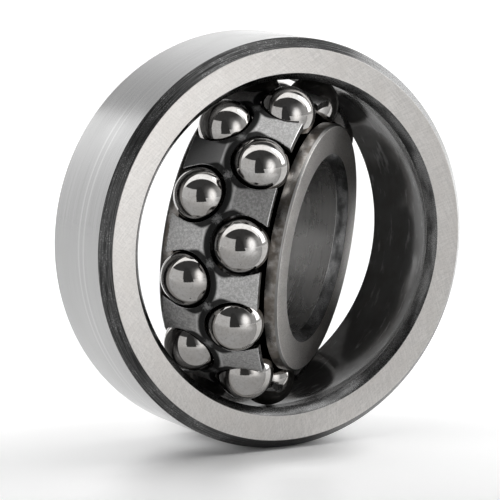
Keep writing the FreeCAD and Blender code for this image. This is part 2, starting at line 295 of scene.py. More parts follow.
class Steel:
    """One steel finish: its node tree, and the bearing's own coordinates in millimetres.

    turn is the angle by which the piece is swivelled.
    """

    def __init__(self, name, turn):
        self.material, self.nodes = new_material(name)
        n = self.nodes
        swivel = n.add("ShaderNodeVectorRotate", rotation_type="AXIS_ANGLE")
        swivel.inputs["Axis"].default_value = SWIVEL_AXIS
        swivel.inputs["Angle"].default_value = -turn
        n.link(n.place(), swivel.inputs["Vector"])
        self.place = swivel.outputs[0]
        self.x, self.y, self.z = n.separate(self.place)
        self.radius = n.hypotenuse(self.x, self.z)
        self.around_x = n.math("DIVIDE", self.x, self.radius)
        self.around_z = n.math("DIVIDE", self.z, self.radius)

    def turned_lines(self, across, fineness, shortness, detail=2.0):
        """Noise drawn out into fine lines along the turning direction."""
        n = self.nodes
        vector = n.combine(n.math("MULTIPLY", self.around_x, shortness),
                           n.math("MULTIPLY", self.around_z, shortness),
                           n.math("MULTIPLY", across, fineness))
        return n.noise(vector, detail=detail)

    def grinding_arcs(self, centre_x, centre_z, fineness, shortness):
        """Fine arcs about a point beside the ring, as a face grinding wheel leaves them."""
        n = self.nodes
        off_x = n.math("SUBTRACT", self.x, centre_x)
        off_z = n.math("SUBTRACT", self.z, centre_z)
        distance = n.hypotenuse(off_x, off_z)
        angle = n.math("ARCTAN2", off_z, off_x)
        vector = n.combine(n.math("MULTIPLY", distance, fineness),
                           n.math("MULTIPLY", angle, shortness), 0.0)
        return n.noise(vector, detail=3.0)

    def finish(self, colour, roughness, height, depth, grazing=1.0, metallic=1.0, sheen=0.5):
        """Close the material: colour, roughness and a relief that is depth millimetres high.

        grazing under 1 dulls what the steel mirrors at flat angles, as a film of oil does. metallic
        under 1 stands for a dull skin on the steel, and sheen is how strongly that skin shines.
        """
        n = self.nodes
        shader = n.add("ShaderNodeBsdfPrincipled")
        n.link(colour, shader.inputs["Base Color"])
        n.link(roughness, shader.inputs["Roughness"])
        shader.inputs["Metallic"].default_value = metallic
        shader.inputs["Specular Tint"].default_value = grey(grazing)
        shader.inputs["Specular IOR Level"].default_value = sheen
        bump = n.add("ShaderNodeBump")
        bump.inputs["Distance"].default_value = depth * MM
        n.link(height, bump.inputs["Height"])
        n.link(bump.outputs[0], shader.inputs["Normal"])
        n.close(shader)
        return self.material


# Where the two bright lines run round the outside, from the ring's middle
BRIGHT_LINES = (-1.85, -0.65)
# The points beside a ring about which its side faces' grinding arcs run
GRINDING_CENTRES = ((-46.0, -30.0), (38.0, -52.0))
ARC_FINENESS, ARC_SHORTNESS = 5.5, 34.0
# How strongly painted shade darkens every other prong of the front row, from 0 to 1
FRONT_PRONG_SHADE = 0.42


def ground_cylinder():
    """Outside diameter: fine lines round the ring and two faint bright ones near its middle."""
    steel = Steel("ground_cylinder", 0.0)
    n = steel.nodes
    lines = steel.turned_lines(steel.y, 7.0, 2.0)
    cloud = n.noise(steel.place, scale=0.22, detail=3.0)
    bright_line = 0.0
    for place in BRIGHT_LINES:
        distance = n.math("ABSOLUTE", n.math("SUBTRACT", steel.y, place))
        bright_line = n.math("ADD", bright_line, n.ramp(distance, 0.05, 0.28, 1.0, 0.0))
    bright_line = n.math("MULTIPLY", bright_line, n.ramp(steel.around_z, 0.5, 0.8, 0.15, 0.03))
    colour = n.mix(n.ramp(lines, 0.3, 0.7), grey(0.335), grey(0.375))
    colour = n.mix(bright_line, colour, grey(0.85))
    rough = n.math("ADD", n.ramp(lines, 0.2, 0.8, 0.15, 0.19),
                   n.ramp(cloud, 0.3, 0.7, -0.03, 0.03))
    return steel.finish(colour, rough, lines, 0.0007)


def hardening_scale(name, turn, level, roughness, speckled, clean_and_lit_angle=None):
    """Dark scale that heat treatment leaves on turned chamfers, speckled by rubbed-through spots.

    speckled is how far those spots are rubbed through. The last argument is the angle about the
    axis, in radians, in the middle of a stretch painted as steel rubbed clean of scale, with a
    painted highlight where the chamfer mirrors the light above and to the right.
    """
    steel = Steel(name, turn)
    n = steel.nodes
    lines = steel.turned_lines(n.math("ADD", steel.y, steel.radius), 6.0, 5.0, detail=3.0)
    speckle = n.noise(steel.place, scale=7.5, detail=3.0, roughness=0.75)
    cloud = n.noise(steel.place, scale=0.5, detail=3.0)
    rubbed = n.math("MULTIPLY", n.ramp(speckle, 0.52, 0.66),
                    n.ramp(cloud, 0.4, 0.62, 0.2 * speckled, speckled))
    rubbed = n.math("MULTIPLY", rubbed, n.ramp(lines, 0.35, 0.6))
    colour = n.mix(n.ramp(lines, 0.3, 0.7), grey(level * 0.4), grey(level * 1.5))
    colour = n.mix(rubbed, colour, grey(level * 3 + 0.25))
    rough = n.math("SUBTRACT", n.ramp(speckle, 0.3, 0.75, roughness - 0.05, roughness + 0.1),
                   n.math("MULTIPLY", rubbed, 0.1))
    # Painted highlight and real wear: a stretch rubbed clean of scale, lighter where the light
    # above and to the right falls
    if clean_and_lit_angle is not None:
        facing = n.math("ADD", n.math("MULTIPLY", steel.around_x, math.cos(clean_and_lit_angle)),
                        n.math("MULTIPLY", steel.around_z, math.sin(clean_and_lit_angle)))
        clean_and_highlight = n.math("ADD", facing, n.ramp(lines, 0.2, 0.8, -0.16, 0.16, smooth=False))
        clean_and_highlight = n.ramp(clean_and_highlight, 0.62, 0.92)
        colour = n.mix(clean_and_highlight, colour, grey(0.62))
        rough = n.math("ADD", rough, n.math("MULTIPLY", clean_and_highlight, -0.08))
    return steel.finish(colour, rough, speckle, 0.008)


def ground_face(name, turn, level, roughness, pitting):
    """Side face: crossing grinding arcs over a soft mottle, with pitting that darkens its grain."""
    steel = Steel(name, turn)
    n = steel.nodes
    first, second = (steel.grinding_arcs(x, z, ARC_FINENESS, ARC_SHORTNESS)
                     for x, z in GRINDING_CENTRES)
    arcs = n.math("ADD", n.math("MULTIPLY", first, 0.5), n.math("MULTIPLY", second, 0.5))
    cloud = n.noise(steel.place, scale=0.35, detail=4.0)
    grain = n.noise(steel.place, scale=5.0, detail=4.0, roughness=0.75)
    colour = n.mix(n.ramp(arcs, 0.38, 0.62), grey(level * 0.9, 0.03), grey(level * 1.09, 0.03))
    colour = n.mix(n.ramp(cloud, 0.35, 0.7, 0.0, 0.5), colour, grey(level * 0.95, 0.045))
    colour = n.mix(n.ramp(grain, 0.48, 0.7, 0.0, pitting), colour, grey(level * 0.5, 0.03))
    rough = n.math("ADD", n.ramp(arcs, 0.3, 0.7, roughness - 0.04, roughness + 0.04),
                   n.ramp(grain, 0.3, 0.7, -0.03, 0.03))
    relief = n.math("ADD", arcs, n.math("MULTIPLY", grain, 0.8))
    return steel.finish(colour, rough, relief, 0.003)


def honed_raceway(name, turn, level, roughness, film):
    """Raceway or groove: dark mirror, with honing lines, soft clouds and pale smears in the oil.

    film is how much of the light the oil film scatters in place of the steel's own mirror.
    """
    steel = Steel(name, turn)
    n = steel.nodes
    lines = steel.turned_lines(steel.y, 10.0, 3.0)
    cloud = n.noise(steel.place, scale=0.4, detail=4.0, roughness=0.6)
    colour = n.mix(n.ramp(cloud, 0.35, 0.7), grey(level, 0.01), grey(level * 0.8, 0.04))
    drawn_out = n.combine(n.math("MULTIPLY", steel.around_x, 6.0),
                          n.math("MULTIPLY", steel.around_z, 6.0), n.math("MULTIPLY", steel.y, 1.1))
    smear = n.noise(drawn_out, detail=4.0, roughness=0.6)
    colour = n.mix(n.ramp(smear, 0.56, 0.74, 0.0, film), colour, grey(0.32))
    rough = n.math("ADD", n.ramp(cloud, 0.35, 0.7, roughness, roughness + 0.08),
                   n.ramp(lines, 0.3, 0.7, -0.015, 0.02))
    return steel.finish(colour, rough, lines, 0.0006,
                        grazing=0.55, metallic=1 - film, sheen=0.2)


def stained_land():
    """Inner ring's shoulders: polished, mottled by brown stains."""
    steel = Steel("stained_land", SWIVEL_ANGLE)
    n = steel.nodes
    stain = n.noise(steel.place, scale=0.55, detail=4.0, roughness=0.6)
    lines = steel.turned_lines(steel.y, 5.0, 3.0)
    colour = n.mix(n.ramp(stain, 0.38, 0.62), grey(0.4, 0.04), grey(0.17, 0.12))
    rough = n.math("ADD", n.ramp(stain, 0.35, 0.65, 0.26, 0.4),
                   n.ramp(lines, 0.3, 0.7, -0.03, 0.03))
    return steel.finish(colour, rough, lines, 0.001)


def turned_bore():
    """Bore: ground, with soft fine rings along its length."""
    steel = Steel("turned_bore", SWIVEL_ANGLE)
    n = steel.nodes
    lines = steel.turned_lines(steel.y, 3.0, 0.8)
    cloud = n.noise(steel.place, scale=0.3, detail=3.0)
    colour = n.mix(n.ramp(lines, 0.3, 0.7), grey(0.44, 0.01), grey(0.49, 0.01))
    rough = n.math("ADD", n.ramp(lines, 0.25, 0.75, 0.24, 0.28),
                   n.ramp(cloud, 0.3, 0.7, -0.02, 0.04))
    return steel.finish(colour, rough, lines, 0.0003)


def around_cage(steel, row):
    """Angle round the cage from the first ball of the front row (-1) or the back row (1)."""
    n = steel.nodes
    angle = n.math("ARCTAN2", n.math("MULTIPLY", steel.z, -1.0), steel.x)
    phase = BALL_PHASE + (HALF_PITCH if row > 0 else 0.0)
    return n.math("SUBTRACT", angle, phase)


def pocket_rim_shade(steel, row):
    """Mask of painted shade round one row's pockets, widest where they run into the web."""
    n = steel.nodes
    angle = n.math("WRAP", around_cage(steel, row), HALF_PITCH, -HALF_PITCH)
    along = n.math("MULTIPLY", steel.radius, n.math("SINE", angle))
    outward = n.math("MULTIPLY", steel.radius, n.math("COSINE", angle))
    outward = n.math("SUBTRACT", outward, PITCH_RADIUS)
    beyond = n.math("SUBTRACT", steel.y, row * ROW_OFFSET)
    distance = n.vector_math("LENGTH", n.combine(along, outward, beyond))
    width = n.ramp(n.math("ABSOLUTE", steel.y), 1.2, 3.2, 0.7, 0.05)
    outside = n.math("SUBTRACT", distance, BALL_RADIUS + POCKET_CLEARANCE)
    outside = n.math("SUBTRACT", outside, width)
    return n.ramp(outside, -0.15, 0.15, 1.0, 0.0)


def neck_glint(steel, grain):
    """Ragged mask of a painted glint on the small spots where two pockets leave the web narrowest.
    """
    n = steel.nodes
    angle = n.math("WRAP", around_cage(steel, -1), HALF_PITCH, 0.0)
    along = n.math("MULTIPLY", steel.radius, n.math("SUBTRACT", angle, HALF_PITCH / 2))
    distance = n.vector_math("LENGTH", n.combine(along, steel.y, 0.0))
    distance = n.math("ADD", distance, n.ramp(grain, 0.35, 0.65, 0.35, -0.25))
    return n.ramp(distance, 0.05, 0.75, 0.38, 0.0)


def alternate_prongs(steel, row):
    """1 on every other prong of one row and -1 on those between."""
    n = steel.nodes
    turn = n.math("WRAP", around_cage(steel, row), 2 * math.pi, 0.0)
    return n.math("SINE", n.math("MULTIPLY", turn, math.pi / (2 * HALF_PITCH)))


def pressed_sheet():
    """Cage plates: matt tumbled sheet, grained and scuffed, with painted light and painted shade on
    its prongs in turn.

    The two folds beside the web are darkened with painted shade, each with a painted highlight line
    beyond it. Painted shade rims the pockets, and a painted glint lies where the web is narrowest.
    """
    steel = Steel("pressed_sheet", SWIVEL_ANGLE)
    n = steel.nodes
    grain = n.noise(steel.place, scale=3.8, detail=4.0, roughness=0.85)
    cloud = n.noise(steel.place, scale=0.3, detail=3.0)
    scuff = n.noise(n.vector_math("MULTIPLY", steel.place, (1.2, 6.0, 1.2)), scale=1.6, detail=3.0)
    colour = n.mix(n.ramp(grain, 0.4, 0.62), grey(0.32, 0.01), grey(0.68, 0.01))
    colour = n.mix(n.ramp(cloud, 0.4, 0.7, 0.0, 0.3), colour, grey(0.3, 0.03))
    colour = n.mix(n.ramp(scuff, 0.6, 0.72, 0.0, 0.4), colour, grey(0.2))
    back = n.ramp(steel.y, -0.3, 0.3)
    alternation = n.math("ADD", n.math("MULTIPLY", alternate_prongs(steel, 1), back),
                  n.math("MULTIPLY", alternate_prongs(steel, -1), n.math("SUBTRACT", 1.0, back)))
    # Painted shade darkens every other prong, those of the back row more the higher they stand
    prong_shade = n.math("SUBTRACT", n.ramp(steel.around_z, -0.6, 0.6, 0.1, 0.95), FRONT_PRONG_SHADE)
    prong_shade = n.math("MULTIPLY_ADD", prong_shade, back, FRONT_PRONG_SHADE)
    prong_shade = n.math("MULTIPLY", prong_shade, n.ramp(alternation, -0.6, 0.3, 1.0, 0.0))
    colour = n.mix(prong_shade, colour, grey(0.16))
    # Painted highlight lightens the prongs between
    colour = n.mix(n.ramp(alternation, 0.0, 0.8, 0.0, 0.2), colour, grey(0.8))
    across = n.math("ABSOLUTE", steel.y)
    # Painted shade darkens the web up to the folds
    fold_shade = n.ramp(across, WEB_HALF_WIDTH - 0.7, WEB_HALF_WIDTH - 0.1, 0.85, 0.0)
    colour = n.mix(fold_shade, colour, grey(0.05))
    # Painted highlight: a bright line along each bend just beyond the web
    bend_highlight_offset = n.math("ABSOLUTE", n.math("SUBTRACT", across, WEB_HALF_WIDTH + 0.12))
    colour = n.mix(n.ramp(bend_highlight_offset, 0.05, 0.22, 0.4, 0.0), colour, grey(0.7))
    rim = n.math("MAXIMUM", pocket_rim_shade(steel, -1), pocket_rim_shade(steel, 1))
    # Painted shade round the pockets, nearly black
    colour = n.mix(n.math("MULTIPLY", rim, 0.97), colour, grey(0.012))
    # Painted glint where the web is narrowest
    colour = n.mix(neck_glint(steel, grain), colour, grey(0.5))
    rough = n.ramp(grain, 0.25, 0.75, 0.38, 0.54)
    return steel.finish(colour, rough, grain, 0.06, metallic=0.75, sheen=0.2)


def burnished_edge():
    """Cage edges: sheared and rubbed bright along the prongs, with painted shade in the pockets'
    seats.
    """
    steel = Steel("burnished_edge", SWIVEL_ANGLE)
    n = steel.nodes
    grain = n.noise(steel.place, scale=4.0, detail=4.0, roughness=0.7)
    colour = n.mix(n.ramp(grain, 0.3, 0.7), grey(0.4), grey(0.62))
    seat = n.ramp(n.math("ABSOLUTE", steel.y), ROW_OFFSET - 1.3, ROW_OFFSET + 0.5, 1.0, 0.0)
    # Painted shade in the pockets' seats, where the balls sit close
    colour = n.mix(seat, colour, grey(0.04))
    rough = n.ramp(grain, 0.3, 0.7, 0.2, 0.36)
    return steel.finish(colour, rough, grain, 0.006)


def shaded_pocket_wall():
    """Cage pocket walls: punched, and painted dark as shade."""
    steel = Steel("shaded_pocket_wall", SWIVEL_ANGLE)
    n = steel.nodes
    grain = n.noise(steel.place, scale=3.0, detail=4.0, roughness=0.7)
    # Painted shade: the walls are painted nearly black
    colour = n.mix(n.ramp(grain, 0.35, 0.65), grey(0.05), grey(0.14, 0.03))
    rough = n.ramp(grain, 0.3, 0.7, 0.22, 0.4)
    return steel.finish(colour, rough, grain, 0.008)


def polished_ball():
    """Balls: mirror polish with faint smudges and a few specks."""
    steel = Steel("polished_ball", 0.0)
    n = steel.nodes
    smudge = n.noise(steel.place, scale=0.55, detail=5.0, roughness=0.6)
    fine = n.noise(steel.place, scale=9.0, detail=3.0, roughness=0.7)
    speck = n.ramp(n.noise(steel.place, scale=2.6, detail=1.0), 0.79, 0.83)
    mottle = n.noise(steel.place, scale=3.2, detail=3.0, roughness=0.7)
    colour = n.mix(n.ramp(smudge, 0.35, 0.7), grey(0.44, 0.02), grey(0.39, 0.04))
    colour = n.mix(n.ramp(mottle, 0.45, 0.68, 0.0, 0.5), colour, grey(0.3, 0.05))
    colour = n.mix(speck, colour, grey(0.1))
    rough = n.math("ADD", n.ramp(smudge, 0.4, 0.75, 0.03, 0.1), n.ramp(fine, 0.4, 0.7, 0.0, 0.03))
    return steel.finish(colour, rough, fine, 0.0004)


# Pieces

def make_outer_ring():
    """Outer ring: ground outside and faces, scaled chamfers, honed spherical raceway."""
    corner_r = OUTER_RADIUS - CORNER_DEPTH
    corner_y = HALF_WIDTH - CORNER_LENGTH
    edge_y = HALF_WIDTH - MOUTH_LENGTH
    edge_r = math.sqrt(RACEWAY_RADIUS ** 2 - edge_y ** 2)
    mouth_r = edge_r + MOUTH_DEPTH
    half_angle = math.asin(edge_y / RACEWAY_RADIUS)
    cylinder, scale, face, raceway, bevel = range(5)
    section = [
        (corner_r, -HALF_WIDTH, scale, True),
        (OUTER_RADIUS, -corner_y, cylinder, True),
        (OUTER_RADIUS, corner_y, scale, True),
        (corner_r, HALF_WIDTH, face, True),
        (mouth_r, HALF_WIDTH, bevel, True),
        *arc_points((0, 0), RACEWAY_RADIUS, half_angle, -half_angle, raceway),
        (edge_r, -edge_y, bevel, True),
        (mouth_r, -HALF_WIDTH, face, True),
    ]
    materials = [
        ground_cylinder(),
        hardening_scale("outer_chamfer_scale", 0.0, level=0.075, roughness=0.34, speckled=0.9,
                        clean_and_lit_angle=math.radians(25)),
        ground_face("outer_side_face", 0.0, level=0.575, roughness=0.36, pitting=0.4),
        honed_raceway("spherical_raceway", 0.0, level=0.1, roughness=0.09, film=0.7),
        hardening_scale("mouth_bevel_scale", 0.0, level=0.13, roughness=0.26, speckled=0.3),
    ]
    section = round_edges(section, RING_EDGE_RADIUS)
    lathe("outer_ring_finished", section, UPRIGHT, materials,
          "outer_ring", "outer_ring")


def make_inner_ring():
    """Inner ring: ground faces and bore, stained shoulders, honed ball grooves."""
    groove_radius = BALL_RADIUS + GROOVE_EASE
    groove_centre = CENTRE_RADIUS + GROOVE_EASE - RUNNING_CLEARANCE
    groove_x = groove_centre * PITCH_RADIUS / CENTRE_RADIUS
    groove_y = groove_centre * ROW_OFFSET / CENTRE_RADIUS
    shoulder_r = groove_x - groove_radius + GROOVE_DEPTH
    ridge_r = groove_x - groove_radius + RIDGE_HEIGHT
    at_shoulder = math.asin((groove_x - shoulder_r) / groove_radius)
    at_ridge = math.asin((groove_x - ridge_r) / groove_radius)
    shoulder_face = shoulder_r - SHOULDER_CHAMFER
    shoulder_y = HALF_WIDTH - SHOULDER_CHAMFER
    bore_face = BORE_RADIUS + BORE_CORNER_DEPTH
    bore_y = HALF_WIDTH - BORE_CORNER_LENGTH
    ridge_end = groove_y - groove_radius * math.cos(at_ridge)
    groove_end = groove_y + groove_radius * math.cos(at_shoulder)
    face, edge, land, groove, bore, chamfer = range(6)
    # The angles at which each groove's arc starts and ends about its own centre
    front_arc = (math.pi + math.pi / 2 - at_shoulder, math.pi / 2 + at_ridge)
    back_arc = (-math.pi / 2 - at_ridge, -math.pi * 3 / 2 + at_shoulder)
    section = [
        (bore_face, -HALF_WIDTH, face, True),
        (shoulder_face, -HALF_WIDTH, edge, True),
        (shoulder_r, -shoulder_y, land, True),
        *arc_points((groove_x, -groove_y), groove_radius, *front_arc, groove),
        (ridge_r, -ridge_end, land, True),
        *arc_points((groove_x, groove_y), groove_radius, *back_arc, groove),
        (shoulder_r, groove_end, land, True),
        (shoulder_r, shoulder_y, edge, True),
        (shoulder_face, HALF_WIDTH, face, True),
        (bore_face, HALF_WIDTH, chamfer, True),
        (BORE_RADIUS, bore_y, bore, True),
        (BORE_RADIUS, -bore_y, chamfer, True),
    ]
    materials = [
        ground_face("inner_side_face", SWIVEL_ANGLE, level=0.8, roughness=0.34, pitting=1.0),
        honed_raceway("shoulder_edge", SWIVEL_ANGLE, level=0.22, roughness=0.3, film=0.0),
        stained_land(),
        honed_raceway("ball_groove", SWIVEL_ANGLE, level=0.08, roughness=0.14, film=0.0),
        turned_bore(),
        hardening_scale("bore_chamfer_scale", SWIVEL_ANGLE,
                        level=0.1, roughness=0.3, speckled=0.3),
    ]
    section = round_edges(section, RING_EDGE_RADIUS)
    lathe("inner_ring_finished", section, SWIVEL, materials,
          "inner_ring", "inner_ring")


class CageSheet:
    """The cage sheet's surfaces: side 0 is its outer face, side 1 its inner face."""

    reach = ROW_OFFSET + PRONG_OVERHANG
    slope = (WEB_HEIGHT - PRONG_TIP_HEIGHT) / (reach - WEB_HALF_WIDTH)
    bend_angle = math.atan(slope)
    pocket_radius = BALL_RADIUS + POCKET_CLEARANCE
    plate_height = WEB_HEIGHT - slope * (ROW_OFFSET - WEB_HALF_WIDTH)
    mouth_half = math.sqrt(pocket_radius ** 2 - plate_height ** 2)

    def face_height(self, y, side):
        """Height above the ball centres of the outer or inner face."""
        web = WEB_HEIGHT - side * SHEET_THICKNESS
        radius = BEND_RADIUS + (1 - side) * SHEET_THICKNESS
        bend_start = WEB_HALF_WIDTH - radius * math.tan(self.bend_angle / 2)
        bend_end = bend_start + radius * math.sin(self.bend_angle)
        across = abs(y)
        if across <= bend_start:
            return web
        if across < bend_end:
            return web - radius + math.sqrt(radius ** 2 - (across - bend_start) ** 2)
        return web - self.slope * (across - WEB_HALF_WIDTH)

    def radius_at(self, y, depth):
        """Distance from the bearing's axis, at a depth below the outer face."""
        share = depth / SHEET_THICKNESS
        height = (1 - share) * self.face_height(y, 0) + share * self.face_height(y, 1)
        return PITCH_RADIUS + height

    def pocket_edge(self, y, depth, inset):
        """Angle from a front pocket's middle to its edge, or to a line inset from that edge."""
        r = self.radius_at(y, depth)
        beyond = y + ROW_OFFSET
        seat = self.pocket_radius + inset
        cosine = (r ** 2 + PITCH_RADIUS ** 2 + beyond ** 2 - seat ** 2) / (2 * r * PITCH_RADIUS)
        edge = math.acos(min(1.0, cosine))
        if beyond < 0:
            curve = math.sqrt(MOUTH_CURVE_RADIUS ** 2 - beyond ** 2)
            half = self.mouth_half - MOUTH_CURVE_RADIUS + curve + inset
            edge = max(edge, math.asin(half / r))
        return edge

    def rows(self, depth, inset):
        """Places along the axis, from the front prong's tip to the back one's, closest together
        where a pocket's edge runs round the ring."""
        tip = self.reach - inset
        height = self.radius_at(0, depth) - PITCH_RADIUS
        root = math.sqrt((self.pocket_radius + inset) ** 2 - height ** 2) - ROW_OFFSET
        flank = [root + (tip - root) * (1 - step / CAGE_FLANK_ROWS) ** CAGE_ROW_CROWDING
                 for step in range(CAGE_FLANK_ROWS)]
        web = [root * math.sin(math.pi / 2 * (2 * step / CAGE_WEB_ROWS - 1))
               for step in range(CAGE_WEB_ROWS + 1)]
        return [-y for y in flank] + web + flank[::-1]

    def row(self, y, depth, inset):
        """Points (angle, y, radius) from a front pocket to the next back pocket."""
        start = self.pocket_edge(y, depth, inset)
        end = HALF_PITCH - self.pocket_edge(-y, depth, inset)
        r = self.radius_at(y, depth)
        return [(start + (end - start) * column / CAGE_COLUMNS, y, r)
                for column in range(CAGE_COLUMNS + 1)]

    def face(self, depth, inset):
        """One whole face of the cell between a front pocket and the next back pocket."""
        return [self.row(y, depth, inset) for y in self.rows(depth, inset)]

    def rim(self, depth, inset):
        """The cell's edge, from the middle of the front prong's tip to the front pocket's root."""
        rows = self.rows(depth, inset)
        tip = self.row(rows[0], depth, inset)[::-1]
        count = CAGE_FLANK_ROWS + CAGE_WEB_ROWS + 1
        pocket = [self.row(y, depth, inset)[0] for y in rows[1:count]]
        return tip + pocket

    def wall(self):
        """Strips from the outer face over both rounded edges to the inner face."""
        edge = CAGE_EDGE_RADIUS
        lines = []
        for step in range(EDGE_STEPS + 1):
            turn = math.pi / 2 * step / EDGE_STEPS
            lines.append((edge * (1 - math.cos(turn)), edge * (1 - math.sin(turn))))
        middle = [(edge + (SHEET_THICKNESS - 2 * edge) * step / CAGE_WALL_STEPS, 0.0)
                  for step in range(1, CAGE_WALL_STEPS)]
        under = [(SHEET_THICKNESS - depth, inset) for depth, inset in reversed(lines)]
        return [self.rim(depth, inset) for depth, inset in lines + middle + under]


def make_cage():
    """Cage: the pressed sheet with rounded pocket edges, drawn as one cell and repeated."""
    sheet = CageSheet()
    wall = sheet.wall()
    opposite = [[(HALF_PITCH - angle, -y, r) for angle, y, r in line] for line in wall]
    patches = [
        (sheet.face(0.0, CAGE_EDGE_RADIUS), 0),
        (sheet.face(SHEET_THICKNESS, CAGE_EDGE_RADIUS), 0),
        (wall, None),
        (opposite, None),
    ]
    points, faces, slots = [], [], []
    for ball in range(BALLS_PER_ROW):
        for mirror in (1, -1):
            for patch, slot in patches:
                first, width = len(points), len(patch[0])
                for line in patch:
                    for angle, y, r in line:
                        around = BALL_PHASE + 2 * ball * HALF_PITCH + mirror * angle
                        place = Vector((r * math.cos(around), y, -r * math.sin(around)))
                        points.append(SWIVEL @ place)
                for line in range(len(patch) - 1):
                    rounded = line < EDGE_STEPS or line >= len(patch) - 1 - EDGE_STEPS
                    for column in range(width - 1):
                        near = first + line * width + column
                        faces.append((near, near + 1, near + width + 1, near + width))
                        slots.append(slot if slot is not None else 1 if rounded else 2)
    materials = [pressed_sheet(), burnished_edge(), shaded_pocket_wall()]
    make_piece("cage_finished", points, faces, slots, materials, "cage", "cage")


def make_balls():
    """Balls: one finely divided sphere at each packed ball's centre."""
    material = polished_ball()
    work = bmesh.new()
    bmesh.ops.create_icosphere(work, subdivisions=BALL_SUBDIVISIONS, radius=BALL_RADIUS * MM)
    for name in BALL_NAMES:
        mesh = bpy.data.meshes.new(name + "_polished")
        work.to_mesh(mesh)
        for vertex in mesh.vertices:
            vertex.co = vertex.co.normalized() * BALL_RADIUS * MM + BALL_CENTRES[name] * MM
        mesh.materials.append(material)
        mesh.shade_smooth()
        ball = add_object(name + "_polished", mesh)
        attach(ball, name)
        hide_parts(name)
    work.free()


# Studio

CAMERA_AZIMUTH = math.radians(-28.62)
CAMERA_ELEVATION = math.radians(8.84)
CAMERA_DISTANCE = 366.05
CAMERA_LENS, CAMERA_SENSOR = 229.1, 36.0
CAMERA_CLIP_METRES = (0.01, 10.0)
# How far the object's origin lies right of and above the middle of the picture, at its distance
ORIGIN_RIGHT, ORIGIN_UP = 1.218, 1.446
RIGHT = Vector((math.cos(CAMERA_AZIMUTH), math.sin(CAMERA_AZIMUTH), 0))
NEAR = Vector((math.sin(CAMERA_AZIMUTH), -math.cos(CAMERA_AZIMUTH), 0))

# How bright the studio's walls and lights are
DARK_FRONT = 0.08
BACK_WALL_MIDDLE, BACK_WALL_SIDES = 1.25, 0.76
RIGHT_WALL_NEAR, RIGHT_WALL_FAR = 0.42, 0.62
LEFT_WALL, LEFT_GLEAM = 0.92, 1.95
CEILING_LIGHT, STRIP_LIGHT = 2.0, 4.5

# The floor, and how bright it shines where it is seen, so that it is white beside the shadow
FLOOR_COLOUR, FLOOR_GLOW = grey(0.82), 0.38
FLOOR_HALF = 900.0
# How far to the right of the ring's foot the fainter painted shadow lies
FAINT_PAINTED_SHADOW_ASIDE = 4.5

# The cards and the sheet of painted floor reflection ahead of the object; azimuths are in degrees
# from the camera's side
CARD_DISTANCE = 110.0
WINDOW_AZIMUTH, WINDOW_HALF_ANGLE = 38.0, 24.0
WINDOW_MIDDLE, WINDOW_HALF_HEIGHT = 20.0, 72.0
WINDOW_LIGHT = 2.2
FLAG_LEVEL, FLAG_TOP = 0.06, 95.0
APRON_START, APRON_END, APRON_HALF = 9.0, 600.0, 500.0
APRON_LIFT = 0.2


def make_camera():
    """Camera at the photograph's angle, with a long lens."""
    towards = NEAR * math.cos(CAMERA_ELEVATION) + Vector((0, 0, math.sin(CAMERA_ELEVATION)))
    up = towards.cross(RIGHT)
    data = bpy.data.cameras.new("camera")
    data.lens = CAMERA_LENS
    data.sensor_width = CAMERA_SENSOR
    data.clip_start, data.clip_end = CAMERA_CLIP_METRES
    camera = add_object("camera", data)
    camera.location = (towards * CAMERA_DISTANCE - RIGHT * ORIGIN_RIGHT - up * ORIGIN_UP) * MM
    camera.rotation_mode = "QUATERNION"
    camera.rotation_quaternion = (-towards).to_track_quat("-Z", "Y")
    bpy.context.scene.camera = camera


